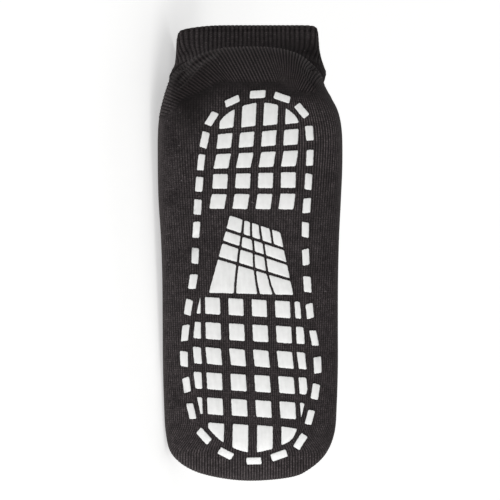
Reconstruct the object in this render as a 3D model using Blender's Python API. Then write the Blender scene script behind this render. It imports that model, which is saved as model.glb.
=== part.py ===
# A left slipper sock with grips on its sole, lying on its outer side.
# The knit body is one hollow solid with a ribbed cuff as a step in its wall and an open collar.
# Metres. +X to the toes, +Y from sole to instep, +Z up, which is the sock's inner side.
# Shape functions work in the sock's own axes: x along the foot, y above the sole, z to the inner side.

import math
from collections import namedtuple

import bmesh
import bpy
from mathutils import Matrix, Vector

for old in list(bpy.data.objects):
    bpy.data.objects.remove(old, do_unlink=True)

# Driving sizes.
FOOT_LENGTH = 0.230
BALL_WIDTH = 0.093
HEEL_WIDTH = 0.0977
CUFF_WIDTH = 0.0746
INSTEP_HEIGHT = 0.052
COLLAR_HEIGHT = 0.0966
KNIT_WALL = 0.0015
CUFF_WALL = 0.0021
REST_FLAT = 0.0017

# Silicone grips, which stand on the knit with a hair gap under those that are pieces of their own.
GRIP_HEIGHT = 0.0011
GRIP_CLEARANCE = 0.0003
GRIP_SINK = 0.0007
DASH_LENGTH = 0.0082
DASH_WIDTH = 0.0038
DASH_SPACE = 0.0025
ARCH_GROOVE = 0.001
ARCH_WEB = 0.0006

KNIT_COLOUR = (0.036, 0.029, 0.031, 1.0)
GRIP_COLOUR = (0.77, 0.77, 0.755, 1.0)
KNIT_ROUGHNESS = 0.95
GRIP_ROUGHNESS = 0.5

# Mesh fineness.
AROUND = 40
TOE_STEPS = 3
FOOT_STEPS = 2

# Sections from the toe round the heel to the collar. Each runs from a point under the foot or behind
# the leg to one over the instep or in front of the leg. Lengths are shares of FOOT_LENGTH, heights and
# half widths are shares of the two sizes that their stretch names, and widest is the height of the
# widest point as a share of the section. The powers say how square its two halves are.
STRETCHES = {
    "foot": (INSTEP_HEIGHT, BALL_WIDTH),
    "waist": (INSTEP_HEIGHT, HEEL_WIDTH),
    "heel": (COLLAR_HEIGHT, HEEL_WIDTH),
    "leg": (COLLAR_HEIGHT, CUFF_WIDTH),
}
Section = namedtuple(
    "Section", "stretch sole_x sole_y top_x top_y outer inner widest sole_power top_power"
)
SECTIONS = (
    Section("foot", 1.000, 0.19, 1.000, 0.19, 0.000, 0.000, 0.46, 2.0, 2.0),
    Section("foot", 0.992, 0.12, 0.992, 0.27, 0.190, 0.230, 0.46, 2.4, 2.2),
    Section("foot", 0.973, 0.06, 0.973, 0.35, 0.342, 0.339, 0.46, 2.8, 2.2),
    Section("foot", 0.937, 0.02, 0.939, 0.44, 0.447, 0.432, 0.45, 3.4, 2.2),
    Section("foot", 0.887, 0.00, 0.891, 0.51, 0.480, 0.482, 0.43, 4.2, 2.25),
    Section("foot", 0.817, 0.00, 0.826, 0.58, 0.490, 0.495, 0.42, 5.0, 2.3),
    Section("foot", 0.730, 0.00, 0.743, 0.66, 0.496, 0.501, 0.42, 5.5, 2.3),
    Section("foot", 0.635, 0.00, 0.652, 0.74, 0.498, 0.501, 0.41, 6.0, 2.3),
    Section("foot", 0.530, 0.00, 0.557, 0.82, 0.500, 0.502, 0.41, 6.0, 2.3),
    Section("foot", 0.426, 0.00, 0.465, 0.91, 0.508, 0.508, 0.41, 6.0, 2.3),
    Section("waist", 0.330, 0.00, 0.383, 0.99, 0.497, 0.494, 0.41, 5.5, 2.3),
    Section("waist", 0.235, 0.00, 0.311, 1.08, 0.501, 0.502, 0.41, 5.0, 2.3),
    Section("heel", 0.148, 0.006, 0.252, 0.631, 0.498, 0.495, 0.42, 4.2, 2.4),
    Section("heel", 0.074, 0.036, 0.211, 0.683, 0.473, 0.452, 0.44, 3.2, 2.5),
    Section("heel", 0.022, 0.109, 0.185, 0.730, 0.447, 0.411, 0.45, 2.6, 2.6),
    Section("heel", 0.000, 0.217, 0.165, 0.771, 0.431, 0.394, 0.46, 2.3, 2.7),
    Section("heel", 0.009, 0.357, 0.150, 0.813, 0.420, 0.388, 0.47, 2.3, 2.8),
    Section("heel", 0.034, 0.481, 0.133, 0.852, 0.412, 0.385, 0.50, 2.5, 2.9),
    Section("leg", 0.024, 0.549, 0.120, 0.890, 0.531, 0.496, 0.50, 3.5, 3.0),
    Section("leg", 0.000, 0.652, 0.104, 0.940, 0.525, 0.487, 0.50, 5.0, 3.4),
    Section("leg", -0.052, 0.787, 0.081, 1.000, 0.521, 0.479, 0.50, 7.0, 4.0),
)
TOE_ROWS = 3
HEEL_BACK_ROW = 15
CUFF_ROW = 18
RIM_ROW = 20
# The lying sock touches the floor here: forefoot, heel side and cuff.
FLOOR_ROWS = (5, 11, 19.5)

# The ring of dashes round the sole, from the back of the heel along the inner side to the toes and back.
# Shares of FOOT_LENGTH and BALL_WIDTH. A stretch between two anchors holds evenly spaced dashes.
BorderPoint = namedtuple("BorderPoint", "x z")
BORDER = (
    BorderPoint(0.111, 0.044),
    BorderPoint(0.122, 0.205),
    BorderPoint(0.159, 0.312),
    BorderPoint(0.217, 0.340),
    BorderPoint(0.304, 0.333),
    BorderPoint(0.422, 0.315),
    BorderPoint(0.522, 0.322),
    BorderPoint(0.617, 0.342),
    BorderPoint(0.722, 0.382),
    BorderPoint(0.794, 0.371),
    BorderPoint(0.883, 0.316),
    BorderPoint(0.928, 0.234),
    BorderPoint(0.953, 0.022),
    BorderPoint(0.933, -0.153),
    BorderPoint(0.885, -0.284),
    BorderPoint(0.839, -0.333),
    BorderPoint(0.722, -0.374),
    BorderPoint(0.617, -0.355),
    BorderPoint(0.522, -0.318),
    BorderPoint(0.422, -0.305),
    BorderPoint(0.304, -0.286),
    BorderPoint(0.226, -0.263),
    BorderPoint(0.167, -0.218),
    BorderPoint(0.130, -0.118),
)
DashRun = namedtuple("DashRun", "first last dashes")
DASH_RUNS = (
    DashRun(0, 5, 7), DashRun(5, 9, 6), DashRun(9, 12, 4), DashRun(12, 15, 3),
    DashRun(15, 19, 7), DashRun(19, 22, 5), DashRun(22, 24, 2),
)

# The two grids of square grips. The corners are the centres of the four corner grips, row 0 nearest the
# heel, in the same shares. The end row is a longer one that the ring of dashes cuts to length.
GripGrid = namedtuple(
    "GripGrid",
    "name heel_outer heel_inner toe_outer toe_inner rows columns gap_along gap_across "
    "end_row end_length side_width side_gap",
)
GRIDS = (
    GripGrid(
        "grip_heel", (0.218, -0.145), (0.209, 0.233), (0.357, -0.182), (0.357, 0.210),
        4, 4, 0.0029, 0.0041, -1, 0.0133, 0.0, 0.0,
    ),
    GripGrid(
        "grip_forefoot", (0.597, -0.212), (0.605, 0.186), (0.828, -0.198), (0.837, 0.215),
        5, 4, 0.0044, 0.0044, 5, 0.0143, 0.0041, 0.0025,
    ),
)

# The arch patch: four slanted rows between its outer and inner edge. Each row holds the x of its two
# edges at both ends, and the shares of its width where a groove lies.
ArchRow = namedtuple("ArchRow", "heel_outer heel_inner toe_outer toe_inner grooves")
ARCH_ROWS = (
    ArchRow(0.389, 0.428, 0.420, 0.464, (0.25, 0.42, 0.59, 0.80)),
    ArchRow(0.424, 0.468, 0.448, 0.498, (0.29, 0.51, 0.70)),
    ArchRow(0.452, 0.502, 0.485, 0.535, (0.27, 0.49, 0.69)),
    ArchRow(0.489, 0.539, 0.567, 0.572, (0.30, 0.53, 0.74)),
)
# Its outer and inner edge at the heel end and the toe end, as shares of BALL_WIDTH.
ARCH_HEEL_EDGES = (-0.114, 0.169)
ARCH_TOE_EDGES = (-0.237, 0.243)


def between(before, start, end, after, share):
    """A smooth curve through start and end, for numbers or vectors."""
    return start + 0.5 * share * (
        end - before
        + share * (2 * before - 5 * start + 4 * end - after + share * (3 * (start - end) + after - before))
    )


def real_sizes(row):
    """One row of the table in metres: sole point, top point, half widths, shape."""
    height, width = STRETCHES[row.stretch]
    return (
        row.sole_x * FOOT_LENGTH, row.sole_y * height, row.top_x * FOOT_LENGTH, row.top_y * height,
        row.outer * width, row.inner * width, row.widest, row.sole_power, row.top_power,
    )


def section_rows():
    rows = [real_sizes(row) for row in SECTIONS]
    # Past the toe the shape goes on as its own mirror image, which rounds the tip.
    first = rows[1]
    mirrored = (*first[2:4], *first[0:2], -first[4], -first[5], *first[6:])
    past_rim = tuple(2 * last - before for last, before in zip(rows[-1], rows[-2]))
    return [mirrored, *rows, past_rim]


ROWS = section_rows()


def section_at(place):
    """The section at a place along the table, such as 2.5 for halfway from row 2 to row 3."""
    row = min(int(place), len(SECTIONS) - 2)
    share = place - row
    return [between(*four, share) for four in zip(*ROWS[row:row + 4])]


def knit_point(place, angle):
    """A point of the knit's outer face. The angle starts at the inner side and runs over the instep."""
    sole_x, sole_y, top_x, top_y, outer, inner, widest, sole_power, top_power = section_at(place)
    across, up = math.cos(angle), math.sin(angle)
    power = top_power if up > 0 else sole_power
    reach = (abs(across) ** power + abs(up) ** power) ** (-1 / power)
    height = widest + (1 - widest if up > 0 else widest) * reach * up
    return Vector((
        sole_x + (top_x - sole_x) * height,
        sole_y + (top_y - sole_y) * height,
        (inner if across > 0 else outer) * reach * across,
    ))


def knit_normal(place, angle):
    if place == 0:
        return Vector((1, 0, 0))
    step = 0.001
    place = min(place, RIM_ROW - step)
    along = knit_point(place + step, angle) - knit_point(place - step, angle)
    around = knit_point(place, angle + step) - knit_point(place, angle - step)
    return around.cross(along).normalized()


def shell_point(place, angle, lift):
    """A point lifted off the knit's outer face, or sunk in where lift is negative."""
    return knit_point(place, angle) + lift * knit_normal(place, angle)


def shell_rows():
    """(place, lift) of each ring, up the outer face, over the rim and down the inner face to the toe."""
    toe = [i / TOE_STEPS for i in range(TOE_ROWS * TOE_STEPS)]
    foot = [TOE_ROWS + i / FOOT_STEPS for i in range((CUFF_ROW - TOE_ROWS) * FOOT_STEPS + 1)]
    cuff = [CUFF_ROW + 0.04 + i / FOOT_STEPS for i in range((RIM_ROW - CUFF_ROW) * FOOT_STEPS)]
    cuff_step = CUFF_WALL - KNIT_WALL
    outer = [(place, 0.0) for place in toe + foot] + [(place, cuff_step) for place in cuff]
    rim = [(RIM_ROW, cuff_step), (RIM_ROW + 0.05, (cuff_step - KNIT_WALL) / 2), (RIM_ROW, -KNIT_WALL)]
    halves = [i / 2 for i in range(2 * RIM_ROW)]
    inner = [place for place in halves if place in (0.5, 1.5) or place % 1 == 0 or place > FLOOR_ROWS[1]]
    return outer + rim + [(place, -KNIT_WALL) for place in reversed(inner)]


def floor_frame():
    """The turn from the sock's axes to the row's, which lays forefoot, heel and cuff on the floor."""
    outer_side = [math.radians(degrees) for degrees in range(120, 241, 2)]
    up = Vector((0, 0, 1))
    for _ in range(8):
        touching = [
            min((knit_point(place, angle) for angle in outer_side), key=up.dot) for place in FLOOR_ROWS
        ]
        forefoot, heel, cuff = touching
        up = (forefoot - heel).cross(heel - cuff).normalized()
        up *= math.copysign(1, up.z)
    forward = (Vector((1, 0, 0)) - up.x * up).normalized()
    turn = Matrix((forward, up.cross(forward), up))
    angles = [2 * math.pi * i / AROUND for i in range(AROUND)]
    points = [turn @ shell_point(place, angle, lift) for place, lift in shell_rows() for angle in angles]
    low = [min(point[axis] for point in points) for axis in range(3)]
    high = [max(point[axis] for point in points) for axis in range(3)]
    origin = Vector(((low[0] + high[0]) / 2, (low[1] + high[1]) / 2, low[2] + REST_FLAT))
    return turn, origin


TURN, ORIGIN = floor_frame()


def laid(point, lowest=0.0):
    """The row's coordinates of a point in the sock's axes, flattened where the sock rests."""
    placed = TURN @ point - ORIGIN
    placed.z = max(placed.z, lowest)
    return placed


def under_foot(place, z):
    """The point of a section's under side at one distance to the side."""
    sole_x, sole_y, top_x, top_y, outer, inner, widest, sole_power, _ = section_at(place)
    half = max(inner if z > 0 else outer, 1e-6)
    ratio = min(abs(z) / half, 0.999)
    height = widest * (1 - (1 - ratio ** sole_power) ** (1 / sole_power))
    return Vector((sole_x + (top_x - sole_x) * height, sole_y + (top_y - sole_y) * height, z))


def sole_point(x, z):
    """The point of the sole that shows at x and z when the sole is looked at squarely."""
    near_toe, near_heel = 0.0, float(HEEL_BACK_ROW)
    for _ in range(30):
        middle = (near_toe + near_heel) / 2
        if under_foot(middle, z).x > x:
            near_toe = middle
        else:
            near_heel = middle
    return under_foot(near_toe, z)


def on_sole(x, z, lift):
    """The row's coordinates of a point lifted off the sole, or sunk in where lift is negative."""
    step = 0.0005
    along = sole_point(x + step, z) - sole_point(x - step, z)
    across = sole_point(x, z + step) - sole_point(x, z - step)
    return laid(sole_point(x, z) + lift * along.cross(across).normalized())


def closed_curve(controls, start, end, steps):
    """(x, z) points on the smooth closed curve through the controls."""
    points = []
    for i in range(steps + 1):
        place = start + (end - start) * i / steps
        first = math.floor(place)
        four = [Vector(controls[(first + k) % len(controls)]) for k in (-1, 0, 1, 2)]
        points.append(between(*four, place - first))
    return points


def border_controls():
    return [(point.x * FOOT_LENGTH, point.z * BALL_WIDTH) for point in BORDER]


def dash_places():
    """(centre, direction) of each dash of the ring."""
    places = []
    for run in DASH_RUNS:
        line = closed_curve(border_controls(), run.first, run.last, 40 * run.dashes)
        lengths = [0.0]
        for a, b in zip(line, line[1:]):
            lengths.append(lengths[-1] + (b - a).length)
        for i in range(run.dashes):
            at = next(k for k, length in enumerate(lengths) if length >= lengths[-1] * i / run.dashes)
            ahead, behind = line[min(at + 1, len(line) - 1)], line[max(at - 1, 0)]
            places.append((line[at], (ahead - behind).normalized()))
    return places


def border_limits():
    """Straight limits that keep the grids clear of the ring: a point and the way in from it."""
    line = closed_curve(border_controls(), 0, len(BORDER), 2 * len(BORDER))
    inset = DASH_WIDTH / 2 + DASH_SPACE
    limits = []
    for before, point, after in zip(line[-2:] + line, line, line[1:]):
        tangent = (after - before).normalized()
        inward = Vector((tangent.y, -tangent.x))
        limits.append((point + inset * inward, inward))
    return limits


def clipped(outline, limits):
    """The part of a small convex outline on the inner side of the limits close to it."""
    centre = sum(outline, Vector((0, 0))) / len(outline)
    for point, inward in limits:
        if (point - centre).length > 1.6 * DASH_LENGTH or not outline:
            continue
        kept = []
        for a, b in zip(outline, outline[1:] + outline[:1]):
            depth_a, depth_b = (a - point).dot(inward), (b - point).dot(inward)
            if depth_a >= 0:
                kept.append(a)
            if depth_a * depth_b < 0:
                kept.append(a + (b - a) * depth_a / (depth_a - depth_b))
        outline = kept
    return outline


def without_short_sides(outline, shortest=0.0009):
    return [
        point for before, point in zip(outline[-1:] + outline, outline) if (point - before).length > shortest
    ]


def add_raised(mesh, outline, low, high):
    """A closed slab over an outline on the sole, between two lifts, following the sole's curve."""
    points = []
    for a, b in zip(outline, outline[1:] + outline[:1]):
        points += [a, (a + b) / 2]
    centre = sum(outline, Vector((0, 0))) / len(outline)
    upper = [mesh.verts.new(on_sole(point.x, point.y, high)) for point in points]
    lower = [mesh.verts.new(on_sole(point.x, point.y, low)) for point in points]
    top = mesh.verts.new(on_sole(centre.x, centre.y, high))
    base = mesh.verts.new(on_sole(centre.x, centre.y, low))
    for i in range(len(points)):
        k = (i + 1) % len(points)
        mesh.faces.new((upper[i], upper[k], top))
        mesh.faces.new((lower[k], lower[i], base))
        mesh.faces.new((upper[k], upper[i], lower[i], lower[k]))
    bmesh.ops.recalc_face_normals(mesh, faces=mesh.faces)


def object_from(name, mesh, material):
    data = bpy.data.meshes.new(name)
    mesh.to_mesh(data)
    mesh.free()
    data.materials.append(material)
    data.shade_smooth()
    made = bpy.data.objects.new(name, data)
    bpy.context.scene.collection.objects.link(made)
    return made


def plain_material(name, colour, roughness):
    material = bpy.data.materials.new(name)
    material.use_nodes = True
    shader = material.node_tree.nodes["Principled BSDF"]
    shader.inputs["Base Color"].default_value = colour
    shader.inputs["Roughness"].default_value = roughness
    shader.inputs["Metallic"].default_value = 0.0
    return material


def dash_outlines():
    outlines = []
    for centre, tangent in dash_places():
        side = Vector((-tangent.y, tangent.x))
        outlines.append([
            centre + a * DASH_LENGTH / 2 * tangent + b * DASH_WIDTH / 2 * side
            for a, b in ((-1, -1), (1, -1), (1, 1), (-1, 1))
        ])
    return outlines


def build_body(material):
    """The knit body: one skin from the toe over the rim and back inside, with the ring of dashes on it."""
    rows = shell_rows()
    mesh = bmesh.new()
    bmesh.ops.create_grid(mesh, x_segments=AROUND, y_segments=len(rows) - 1, size=1.0)
    for vert in mesh.verts:
        angle = math.pi * (vert.co.x + 1)
        place, lift = rows[round((vert.co.y + 1) / 2 * (len(rows) - 1))]
        inside = lift == -KNIT_WALL
        vert.co = laid(shell_point(place, angle, lift), KNIT_WALL if inside else 0.0)
    bmesh.ops.remove_doubles(mesh, verts=mesh.verts, dist=1e-6)
    bmesh.ops.recalc_face_normals(mesh, faces=mesh.faces)
    body = object_from("sock_body", mesh, material)

    ring = bmesh.new()
    for outline in dash_outlines():
        add_raised(ring, outline, -GRIP_SINK, GRIP_HEIGHT)
    dashes = object_from("dash_ring", ring, material)
    dashes.hide_render = True
    dashes.display_type = "WIRE"
    join = body.modifiers.new("dashes", "BOOLEAN")
    join.operation = "UNION"
    join.solver = "EXACT"
    join.object = dashes
    return body


def grid_place(grid, row, column):
    """The (x, z) point at a row and column of a grid, whole numbers at the grips' centres."""
    along, across = row / (grid.rows - 1), column / (grid.columns - 1)
    heel = Vector(grid.heel_outer).lerp(Vector(grid.heel_inner), across)
    toe = Vector(grid.toe_outer).lerp(Vector(grid.toe_inner), across)
    point = heel.lerp(toe, along)
    return Vector((point.x * FOOT_LENGTH, point.y * BALL_WIDTH))


def grid_cells(grid):
    """(row span, column span) of each grip, in the grid's own counts."""
    pitch_along = (grid_place(grid, 1, 0) - grid_place(grid, 0, 0)).length
    pitch_across = (grid_place(grid, 0, 1) - grid_place(grid, 0, 0)).length
    half_along = (1 - grid.gap_along / pitch_along) / 2
    half_across = (1 - grid.gap_across / pitch_across) / 2
    spans = [(row - half_along, row + half_along) for row in range(grid.rows)]
    columns = [(column - half_across, column + half_across) for column in range(grid.columns)]
    long_share = grid.end_length / pitch_along
    if grid.end_row < 0:
        end_span = (-1 + half_along - long_share, -1 + half_along)
    else:
        end_span = (grid.end_row - half_along, grid.end_row - half_along + long_share)
    cells = [(span, column) for span in spans for column in columns]
    cells += [(end_span, column) for column in columns]
    if grid.side_width > 0:
        gap, width = grid.side_gap / pitch_across, grid.side_width / pitch_across
        outer_side = (columns[0][0] - gap - width, columns[0][0] - gap)
        inner_side = (columns[-1][1] + gap, columns[-1][1] + gap + width)
        cells += [(span, side) for span in spans for side in (outer_side, inner_side)]
    return cells


def build_grids(material):
    limits = border_limits()
    for grid in GRIDS:
        number = 0
        for (low, high), (left, right) in grid_cells(grid):
            corners = [(low, left), (high, left), (high, right), (low, right)]
            outline = clipped([grid_place(grid, *corner) for corner in corners], limits)
            outline = without_short_sides(outline)
            if len(outline) < 3:
                continue
            number += 1
            mesh = bmesh.new()
            add_raised(mesh, outline, GRIP_CLEARANCE, GRIP_CLEARANCE + GRIP_HEIGHT)
            object_from(f"{grid.name}_{number:02d}", mesh, material)


def arch_edges(x):
    """The patch's outer and inner z at one x."""
    start, end = ARCH_ROWS[0].heel_outer, ARCH_ROWS[-1].toe_inner
    share = (x / FOOT_LENGTH - start) / (end - start)
    return [
        BALL_WIDTH * (heel + (toe - heel) * share) for heel, toe in zip(ARCH_HEEL_EDGES, ARCH_TOE_EDGES)
    ]


def arch_line(outer_x, inner_x):
    """The two ends of a slanted line across the patch."""
    ends = []
    for side, share in enumerate((outer_x, inner_x)):
        x = share * FOOT_LENGTH
        ends.append(Vector((x, arch_edges(x)[side])))
    return ends


def build_arch(material):
    """Each row is a strip whose grips are joined by a thin web in the grooves between them."""
    for number, row in enumerate(ARCH_ROWS, 1):
        lines = arch_line(row.heel_outer, row.heel_inner), arch_line(row.toe_outer, row.toe_inner)
        width = (lines[0][1] - lines[0][0]).length
        half = ARCH_GROOVE / 2 / width
        wall = GRIP_HEIGHT / 8 / width
        top = GRIP_CLEARANCE + GRIP_HEIGHT
        profile = [(0.0, top)]
        for groove in row.grooves:
            profile += [(groove - half - wall, top), (groove - half, ARCH_WEB)]
            profile += [(groove + half, ARCH_WEB), (groove + half + wall, top)]
        profile.append((1.0, top))
        mesh = bmesh.new()
        loops = []
        for start, end in lines:
            places = [start.lerp(end, share) for share, _ in profile]
            upper = [on_sole(p.x, p.y, lift) for p, (_, lift) in zip(places, profile)]
            lower = [on_sole(p.x, p.y, GRIP_CLEARANCE) for p in places]
            loops.append([[mesh.verts.new(co) for co in upper], [mesh.verts.new(co) for co in lower]])
        (upper_a, lower_a), (upper_b, lower_b) = loops
        for i in range(len(profile) - 1):
            mesh.faces.new((upper_a[i], upper_a[i + 1], upper_b[i + 1], upper_b[i]))
            mesh.faces.new((lower_b[i], lower_b[i + 1], lower_a[i + 1], lower_a[i]))
            mesh.faces.new((upper_a[i + 1], upper_a[i], lower_a[i], lower_a[i + 1]))
            mesh.faces.new((upper_b[i], upper_b[i + 1], lower_b[i + 1], lower_b[i]))
        for i in (0, -1):
            mesh.faces.new((upper_a[i], upper_b[i], lower_b[i], lower_a[i]))
        bmesh.ops.recalc_face_normals(mesh, faces=mesh.faces)
        object_from(f"grip_arch_{number}", mesh, material)


knit = plain_material("knit", KNIT_COLOUR, KNIT_ROUGHNESS)
silicone = plain_material("silicone", GRIP_COLOUR, GRIP_ROUGHNESS)
build_body(knit)
build_grids(silicone)
build_arch(silicone)
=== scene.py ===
import math

import bmesh
import bpy
import numpy as np
from mathutils import Matrix, Vector, noise


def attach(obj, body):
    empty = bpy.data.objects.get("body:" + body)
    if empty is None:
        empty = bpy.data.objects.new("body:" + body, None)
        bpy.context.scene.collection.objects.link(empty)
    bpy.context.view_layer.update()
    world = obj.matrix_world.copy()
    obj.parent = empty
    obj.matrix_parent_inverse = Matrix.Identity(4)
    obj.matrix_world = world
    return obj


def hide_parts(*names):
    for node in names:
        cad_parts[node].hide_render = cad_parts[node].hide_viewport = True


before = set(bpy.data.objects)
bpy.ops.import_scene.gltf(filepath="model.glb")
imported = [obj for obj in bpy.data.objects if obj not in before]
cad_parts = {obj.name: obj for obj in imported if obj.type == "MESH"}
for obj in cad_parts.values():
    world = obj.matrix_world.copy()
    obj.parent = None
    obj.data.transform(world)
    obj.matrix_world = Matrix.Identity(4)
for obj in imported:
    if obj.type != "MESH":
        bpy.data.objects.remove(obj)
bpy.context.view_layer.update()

# A left slipper sock with silicone grips, lying on its outer side. The shape functions work in the
# sock's own axes: x along the foot to the toes, y from the sole to the instep, z to the inner side.
sock = {
    "footLength": 0.230,
    "ballWidth": 0.093,
    "heelWidth": 0.0977,
    "cuffWidth": 0.0746,
    "instepHeight": 0.052,
    "collarHeight": 0.0966,
    "knitWall": 0.0015,
    "cuffWall": 0.0021,
    "restFlat": 0.0017,
}

# height size and width size of each stretch of sections
stretches = {
    "foot": (sock["instepHeight"], sock["ballWidth"]),
    "waist": (sock["instepHeight"], sock["heelWidth"]),
    "heel": (sock["collarHeight"], sock["heelWidth"]),
    "leg": (sock["collarHeight"], sock["cuffWidth"]),
}
# stretch, sole x, sole y, top x, top y, outer and inner half width, widest height, sole and top power
sections = (
    ("foot", 1.000, 0.19, 1.000, 0.19, 0.000, 0.000, 0.46, 2.0, 2.0),
    ("foot", 0.992, 0.12, 0.992, 0.27, 0.190, 0.230, 0.46, 2.4, 2.2),
    ("foot", 0.973, 0.06, 0.973, 0.35, 0.342, 0.339, 0.46, 2.8, 2.2),
    ("foot", 0.937, 0.02, 0.939, 0.44, 0.447, 0.432, 0.45, 3.4, 2.2),
    ("foot", 0.887, 0.00, 0.891, 0.51, 0.480, 0.482, 0.43, 4.2, 2.25),
    ("foot", 0.817, 0.00, 0.826, 0.58, 0.490, 0.495, 0.42, 5.0, 2.3),
    ("foot", 0.730, 0.00, 0.743, 0.66, 0.496, 0.501, 0.42, 5.5, 2.3),
    ("foot", 0.635, 0.00, 0.652, 0.74, 0.498, 0.501, 0.41, 6.0, 2.3),
    ("foot", 0.530, 0.00, 0.557, 0.82, 0.500, 0.502, 0.41, 6.0, 2.3),
    ("foot", 0.426, 0.00, 0.465, 0.91, 0.508, 0.508, 0.41, 6.0, 2.3),
    ("waist", 0.330, 0.00, 0.383, 0.99, 0.497, 0.494, 0.41, 5.5, 2.3),
    ("waist", 0.235, 0.00, 0.311, 1.08, 0.501, 0.502, 0.41, 5.0, 2.3),
    ("heel", 0.148, 0.006, 0.252, 0.631, 0.498, 0.495, 0.42, 4.2, 2.4),
    ("heel", 0.074, 0.036, 0.211, 0.683, 0.473, 0.452, 0.44, 3.2, 2.5),
    ("heel", 0.022, 0.109, 0.185, 0.730, 0.447, 0.411, 0.45, 2.6, 2.6),
    ("heel", 0.000, 0.217, 0.165, 0.771, 0.431, 0.394, 0.46, 2.3, 2.7),
    ("heel", 0.009, 0.357, 0.150, 0.813, 0.420, 0.388, 0.47, 2.3, 2.8),
    ("heel", 0.034, 0.481, 0.133, 0.852, 0.412, 0.385, 0.50, 2.5, 2.9),
    ("leg", 0.024, 0.549, 0.120, 0.890, 0.531, 0.496, 0.50, 3.5, 3.0),
    ("leg", 0.000, 0.652, 0.104, 0.940, 0.525, 0.487, 0.50, 5.0, 3.4),
    ("leg", -0.052, 0.787, 0.081, 1.000, 0.521, 0.479, 0.50, 7.0, 4.0),
)
heelBackRow = 15  # the back of the heel
cuffPlace = 18.04  # where the cuff starts
rimRow = 20
floorRows = (5, 11, 19.5)  # forefoot, heel and cuff rest on the floor
floorFit = {
    "firstAngle": 120, "lastAngle": 240, "angleStep": 2, "rounds": 8, "around": 40,
}


def between(before, start, end, after, share):
    # a smooth curve through start and end, for numbers and arrays
    return start + 0.5 * share * (
        end - before
        + share * (2 * before - 5 * start + 4 * end - after + share * (3 * (start - end) + after - before))
    )


def sectionTable():
    length = sock["footLength"]
    table = []
    for stretch, soleX, soleY, topX, topY, outer, inner, widest, solePower, topPower in sections:
        height, width = stretches[stretch]
        table.append([soleX * length, soleY * height, topX * length, topY * height,
                      outer * width, inner * width, widest, solePower, topPower])
    first = table[1]
    # past the toe the shape goes on as its own mirror image, past the rim it runs straight on
    mirrored = [*first[2:4], *first[0:2], -first[4], -first[5], *first[6:]]
    pastRim = [2 * last - before for last, before in zip(table[-1], table[-2])]
    return np.array([mirrored, *table, pastRim])


sectionRows = sectionTable()


def sectionAt(place):
    place = np.asarray(place, float)
    row = np.minimum(place.astype(int), len(sections) - 2)
    four = [sectionRows[row + k] for k in range(4)]
    return np.moveaxis(between(*four, (place - row)[..., None]), -1, 0)


def unit(vectors):
    return vectors / np.maximum(np.linalg.norm(vectors, axis=-1, keepdims=True), 1e-12)


def knitPoint(place, angle, squarer=1.0):
    # the knit's outer face; the angle starts at the inner side and runs over the instep
    place, angle = np.broadcast_arrays(place, angle)
    soleX, soleY, topX, topY, outer, inner, widest, solePower, topPower = sectionAt(place)
    across, up = np.cos(angle), np.sin(angle)
    power = np.where(up > 0, topPower, solePower * squarer)
    reach = (np.abs(across) ** power + np.abs(up) ** power) ** (-1 / power)
    height = widest + np.where(up > 0, 1 - widest, widest) * reach * up
    return np.stack([
        soleX + (topX - soleX) * height,
        soleY + (topY - soleY) * height,
        np.where(across > 0, inner, outer) * reach * across,
    ], axis=-1)


def knitNormal(place, angle):
    place, angle = np.broadcast_arrays(place, angle)
    step = 0.001
    near = np.clip(place, step, rimRow - step)
    along = knitPoint(near + step, angle) - knitPoint(near - step, angle)
    around = knitPoint(near, angle + step) - knitPoint(near, angle - step)
    normal = unit(np.cross(around, along))
    # the very tip of the toe faces forwards
    return np.where((place == 0)[..., None], np.array([1.0, 0.0, 0.0]), normal)


def shellRings():
    # the frame's own coarse rings, which set where the lying sock touches the floor: a third of a row
    # apart over the toe, then half a row
    step = sock["cuffWall"] - sock["knitWall"]
    wall = -sock["knitWall"]
    outer = [(i / 3, 0.0) for i in range(9)] + [(3 + i / 2, 0.0) for i in range(31)]
    outer += [(cuffPlace + i / 2, step) for i in range(4)]
    rim = [(rimRow, step), (rimRow + 0.05, (step + wall) / 2), (rimRow, wall)]
    inner = [(place / 2, wall) for place in range(2 * rimRow)
             if place in (1, 3) or place % 2 == 0 or place / 2 > floorRows[1]]
    return np.array(outer + rim + inner)


def floorFrame():
    # turns the sock until its forefoot, heel and cuff touch one plane
    side = np.radians(np.arange(floorFit["firstAngle"], floorFit["lastAngle"] + 1, floorFit["angleStep"]))
    up = np.array([0.0, 0.0, 1.0])
    for _ in range(floorFit["rounds"]):
        forefoot, heel, cuff = [
            min(knitPoint(place, side), key=lambda point: point @ up) for place in floorRows
        ]
        up = unit(np.cross(forefoot - heel, heel - cuff))
        up = up * math.copysign(1, up[2])
    forward = unit(np.array([1.0, 0.0, 0.0]) - up[0] * up)
    turn = np.array([forward, np.cross(up, forward), up])
    rings = shellRings()
    angles = np.linspace(0, 2 * math.pi, floorFit["around"], endpoint=False)
    place, lift, angle = rings[:, :1], rings[:, 1:, None], angles[None, :]
    points = (knitPoint(place, angle) + lift * knitNormal(place, angle)) @ turn.T
    low, high = points.min(axis=(0, 1)), points.max(axis=(0, 1))
    return turn, np.array([(low[0] + high[0]) / 2, (low[1] + high[1]) / 2, low[2] + sock["restFlat"]])


turn, origin = floorFrame()


def laid(points, lowest):
    # from the sock's axes to the frame's, flattened where the sock rests
    placed = points @ turn.T - origin
    placed[..., 2] = np.maximum(placed[..., 2], lowest)
    return placed


def smooth(low, high, value):
    # 0 at low and 1 at high, whichever is greater
    share = np.clip((value - low) / (high - low), 0, 1)
    return share * share * (3 - 2 * share)


def bump(value, centre, width):
    return np.exp(-((value - centre) / width) ** 2)


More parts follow.
